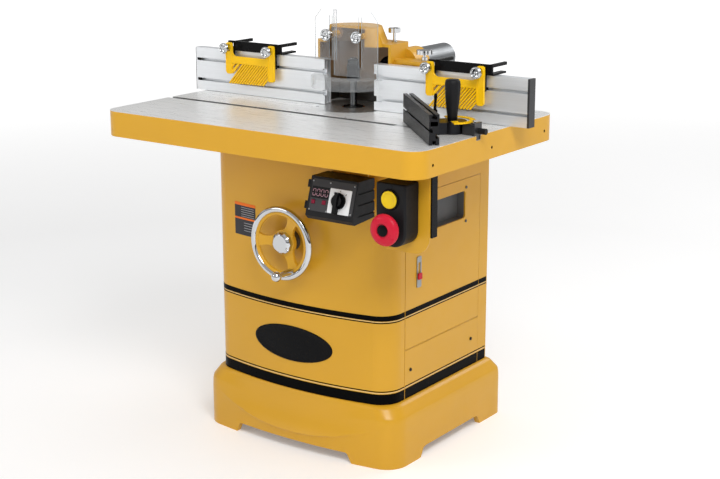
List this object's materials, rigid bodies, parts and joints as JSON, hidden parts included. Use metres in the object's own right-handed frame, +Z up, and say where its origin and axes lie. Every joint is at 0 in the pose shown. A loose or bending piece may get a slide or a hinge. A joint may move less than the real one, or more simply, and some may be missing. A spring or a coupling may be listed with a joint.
{
  "type": "spindle shaper",
  "caption": "Cabinet spindle shaper with cast table, split fence, hooded dust outlet, clear guard, comb featherboards, mitre gauge, lifting handwheel and switchgear.",
  "frame": {"origin": "on the floor under the middle of the whole footprint", "axes": "+Z up, -Y towards the operator at the front, +X to the operator's right"},
  "size_m": [1.105, 0.731, 1.164],
  "materials": {
    "paint_mustard": "satin mustard-yellow paint",
    "ground_iron": "ground and lightly oiled grey iron",
    "dark_plastic": "fine-textured black plastic",
    "dark_grey": "dark grey moulded plastic",
    "chrome": "polished chrome",
    "steel": "machined steel",
    "black_steel": "black oxide",
    "aluminium": "clear anodised",
    "black_aluminium": "black anodised",
    "clear_plastic": "clear polycarbonate",
    "yellow_plastic": "bright yellow moulded plastic",
    "red_plastic": "red moulded plastic",
    "cast_grey": "machined grey casting",
    "motor_paint": "dark grey paint",
    "belt_rubber": "black belt",
    "latch_metal": "zinc-plated"
  },
  "bodies": {
    "cabinet": {"base_casting": "paint_mustard", "cabinet_shell": "paint_mustard", "lower_side_panel": "paint_mustard", "rear_cover": "paint_mustard", "panel_screws": "black_steel", "door_hinge_pins": "steel", "table_casting": "ground_iron", "table_inserts": "ground_iron", "wheel_bearing": "cast_grey", "slide_way": "steel", "control_box": "dark_plastic", "start_stop_box": "dark_plastic", "switch_bracket": "paint_mustard", "switch_conduit": "black_steel"},
    "door": {"side_door": "paint_mustard", "door_pocket": "dark_grey", "latch_plate": "latch_metal"},
    "latch": {"latch_tab": "red_plastic"},
    "wheel": {"wheel_shaft": "steel", "handwheel": "paint_mustard", "handwheel_rim": "chrome"},
    "wheel_grip": {"wheel_handle": "chrome"},
    "wheel_lock": {"lock_knob": "chrome"},
    "screw": {"lift_screw": "steel"},
    "lift": {"carriage": "cast_grey", "motor": "motor_paint", "drive_belt": "belt_rubber"},
    "rotor": {"motor_rotor": "steel"},
    "cutter_shaft": {"spindle": "steel", "spindle_collars": "black_steel", "spindle_nut": "black_steel"},
    "fence": {"fence_housing": "paint_mustard", "dust_pipe": "steel"},
    "hood_knob": {"hood_star_knob": "chrome"},
    "arm_knob": {"arm_star_knob": "chrome"},
    "face_left": {"fence_face_left": "aluminium"},
    "face_right": {"fence_face_right": "aluminium"},
    "guard": {"guard_panels": "clear_plastic", "guard_shield": "clear_plastic"},
    "knob_guard_left": {"guard_knob_left": "chrome"},
    "knob_guard_right": {"guard_knob_right": "chrome"},
    "holder_left": {"feather_holder_left": "dark_plastic"},
    "holder_right": {"feather_holder_right": "dark_plastic"},
    "comb_left": {"featherboard_left": "yellow_plastic"},
    "comb_right": {"featherboard_right": "yellow_plastic"},
    "knob_left_a": {"feather_knob_left_a": "chrome"},
    "knob_left_b": {"feather_knob_left_b": "chrome"},
    "knob_right_a": {"feather_knob_right_a": "chrome"},
    "knob_right_b": {"feather_knob_right_b": "chrome"},
    "mitre": {"mitre_bar": "steel"},
    "mitre_swing": {"mitre_head": "black_steel", "mitre_scale": "yellow_plastic", "mitre_fence": "black_aluminium"},
    "mitre_grip": {"mitre_handle": "dark_plastic"},
    "mitre_stop": {"mitre_knob": "dark_plastic"},
    "rotary": {"rotary_knob": "dark_plastic"},
    "start": {"start_button": "yellow_plastic"},
    "stop": {"stop_button": "red_plastic"},
    "button_left": {"panel_button_left": "red_plastic"},
    "button_right": {"panel_button_right": "red_plastic"}
  },
  "joints": [
    {"name": "door_swing", "type": "hinge", "parent": "cabinet", "child": "door", "pos_m": [0.2783, 0.2728, 0.51], "axis": [0, 0, 1], "range_deg": [0, 115]},
    {"name": "latch_slide", "type": "slide", "parent": "door", "child": "latch", "axis": [0, 0, 1], "range_m": [0, 0.026]},
    {"name": "lift_raise", "type": "slide", "parent": "cabinet", "child": "lift", "axis": [0, 0, 1], "range_m": [-0.06, 0.023]},
    {"name": "wheel_turn", "type": "hinge", "parent": "cabinet", "child": "wheel", "pos_m": [-0.0075, -0.2415, 0.585], "axis": [0, 1, 0], "range_deg": [-4322, 1658]},
    {"name": "screw_turn", "type": "hinge", "parent": "cabinet", "child": "screw", "pos_m": [-0.0075, -0.0485, 0.7], "axis": [0, 0, 1], "range_deg": [-1658, 4322]},
    {"name": "handle_spin", "type": "hinge", "parent": "wheel", "child": "wheel_grip", "pos_m": [0.0315, -0.2815, 0.51745], "axis": [0, -1, 0], "continuous": true},
    {"name": "lock_turn", "type": "hinge", "parent": "wheel", "child": "wheel_lock", "pos_m": [-0.0075, -0.2565, 0.585], "axis": [0, -1, 0], "range_deg": [-90, 270]},
    {"name": "spindle_spin", "type": "hinge", "parent": "lift", "child": "cutter_shaft", "pos_m": [-0.0075, 0.0805, 0.8], "axis": [0, 0, 1], "continuous": true},
    {"name": "motor_spin", "type": "hinge", "parent": "lift", "child": "rotor", "pos_m": [-0.0075, 0.2115, 0.7], "axis": [0, 0, 1], "continuous": true},
    {"name": "fence_shift", "type": "slide", "parent": "cabinet", "child": "fence", "axis": [0, 1, 0], "range_m": [-0.025, 0.01]},
    {"name": "face_left_slide", "type": "slide", "parent": "fence", "child": "face_left", "axis": [1, 0, 0], "range_m": [-0.015, 0.025]},
    {"name": "face_right_slide", "type": "slide", "parent": "fence", "child": "face_right", "axis": [1, 0, 0], "range_m": [-0.025, 0.015]},
    {"name": "guard_raise", "type": "slide", "parent": "fence", "child": "guard", "axis": [0, 0, 1], "range_m": [-0.015, 0.035]},
    {"name": "guard_knob_left_turn", "type": "hinge", "parent": "fence", "child": "knob_guard_left", "pos_m": [-0.0595, 0.0315, 1.097], "axis": [0, -1, 0], "range_deg": [-180, 180]},
    {"name": "guard_knob_right_turn", "type": "hinge", "parent": "fence", "child": "knob_guard_right", "pos_m": [0.0405, 0.0315, 1.097], "axis": [0, -1, 0], "range_deg": [-180, 180]},
    {"name": "hood_knob_turn", "type": "hinge", "parent": "fence", "child": "hood_knob", "pos_m": [0.0885, 0.1365, 1.1], "axis": [0, 0, 1], "range_deg": [-180, 180]},
    {"name": "arm_knob_turn", "type": "hinge", "parent": "fence", "child": "arm_knob", "pos_m": [0.1935, 0.1235, 1.055], "axis": [0, 0, 1], "range_deg": [-180, 180]},
    {"name": "holder_left_slide", "type": "slide", "parent": "face_left", "child": "holder_left", "axis": [1, 0, 0], "range_m": [-0.09, 0.02]},
    {"name": "holder_right_slide", "type": "slide", "parent": "face_right", "child": "holder_right", "axis": [1, 0, 0], "range_m": [-0.03, 0.05]},
    {"name": "comb_left_shift", "type": "slide", "parent": "holder_left", "child": "comb_left", "axis": [0, 0, 1], "range_m": [-0.006, 0.006]},
    {"name": "comb_right_shift", "type": "slide", "parent": "holder_right", "child": "comb_right", "axis": [0, 0, 1], "range_m": [-0.006, 0.006]},
    {"name": "feather_knob_left_a_turn", "type": "hinge", "parent": "holder_left", "child": "knob_left_a", "pos_m": [-0.4105, 0.0215, 1.036], "axis": [0, -1, 0], "range_deg": [-180, 180]},
    {"name": "feather_knob_left_b_turn", "type": "hinge", "parent": "holder_left", "child": "knob_left_b", "pos_m": [-0.2585, 0.0215, 1.036], "axis": [0, -1, 0], "range_deg": [-180, 180]},
    {"name": "feather_knob_right_a_turn", "type": "hinge", "parent": "holder_right", "child": "knob_right_a", "pos_m": [0.2675, 0.0215, 1.036], "axis": [0, -1, 0], "range_deg": [-180, 180]},
    {"name": "feather_knob_right_b_turn", "type": "hinge", "parent": "holder_right", "child": "knob_right_b", "pos_m": [0.4195, 0.0215, 1.036], "axis": [0, -1, 0], "range_deg": [-180, 180]},
    {"name": "mitre_slide", "type": "slide", "parent": "cabinet", "child": "mitre", "axis": [1, 0, 0], "range_m": [-0.14, 0.03]},
    {"name": "mitre_swivel", "type": "hinge", "parent": "mitre", "child": "mitre_swing", "pos_m": [0.4195, -0.094, 0.91], "axis": [0, 0, 1], "range_deg": [-5, 45]},
    {"name": "mitre_handle_turn", "type": "hinge", "parent": "mitre", "child": "mitre_grip", "pos_m": [0.4195, -0.094, 0.96], "axis": [0, 0, 1], "range_deg": [-180, 180]},
    {"name": "mitre_stop_turn", "type": "hinge", "parent": "mitre", "child": "mitre_stop", "pos_m": [0.5075, -0.094, 0.914], "axis": [1, 0, 0], "range_deg": [-180, 180]},
    {"name": "rotary_turn", "type": "hinge", "parent": "cabinet", "child": "rotary", "pos_m": [0.2215, -0.29932, 0.73992], "axis": [0, -0.9549, 0.2971], "range_deg": [-60, 60]},
    {"name": "start_press", "type": "slide", "parent": "cabinet", "child": "start", "axis": [0, 1, 0], "range_m": [0, 0.0035], "stiffness_N_per_m": 600},
    {"name": "stop_press", "type": "slide", "parent": "cabinet", "child": "stop", "axis": [0, 1, 0], "range_m": [0, 0.006]},
    {"name": "button_left_press", "type": "slide", "parent": "cabinet", "child": "button_left", "axis": [0, 0.9549, -0.2971], "range_m": [0, 0.0015], "stiffness_N_per_m": 300},
    {"name": "button_right_press", "type": "slide", "parent": "cabinet", "child": "button_right", "axis": [0, 0.9549, -0.2971], "range_m": [0, 0.0015], "stiffness_N_per_m": 300}
  ],
  "couplings": [
    {"joint": "wheel_turn", "follows": "lift_raise", "rad_per_m": 1256.6},
    {"joint": "screw_turn", "follows": "lift_raise", "rad_per_m": -1256.6},
    {"joint": "motor_spin", "follows": "spindle_spin", "ratio": 0.75}
  ]
}
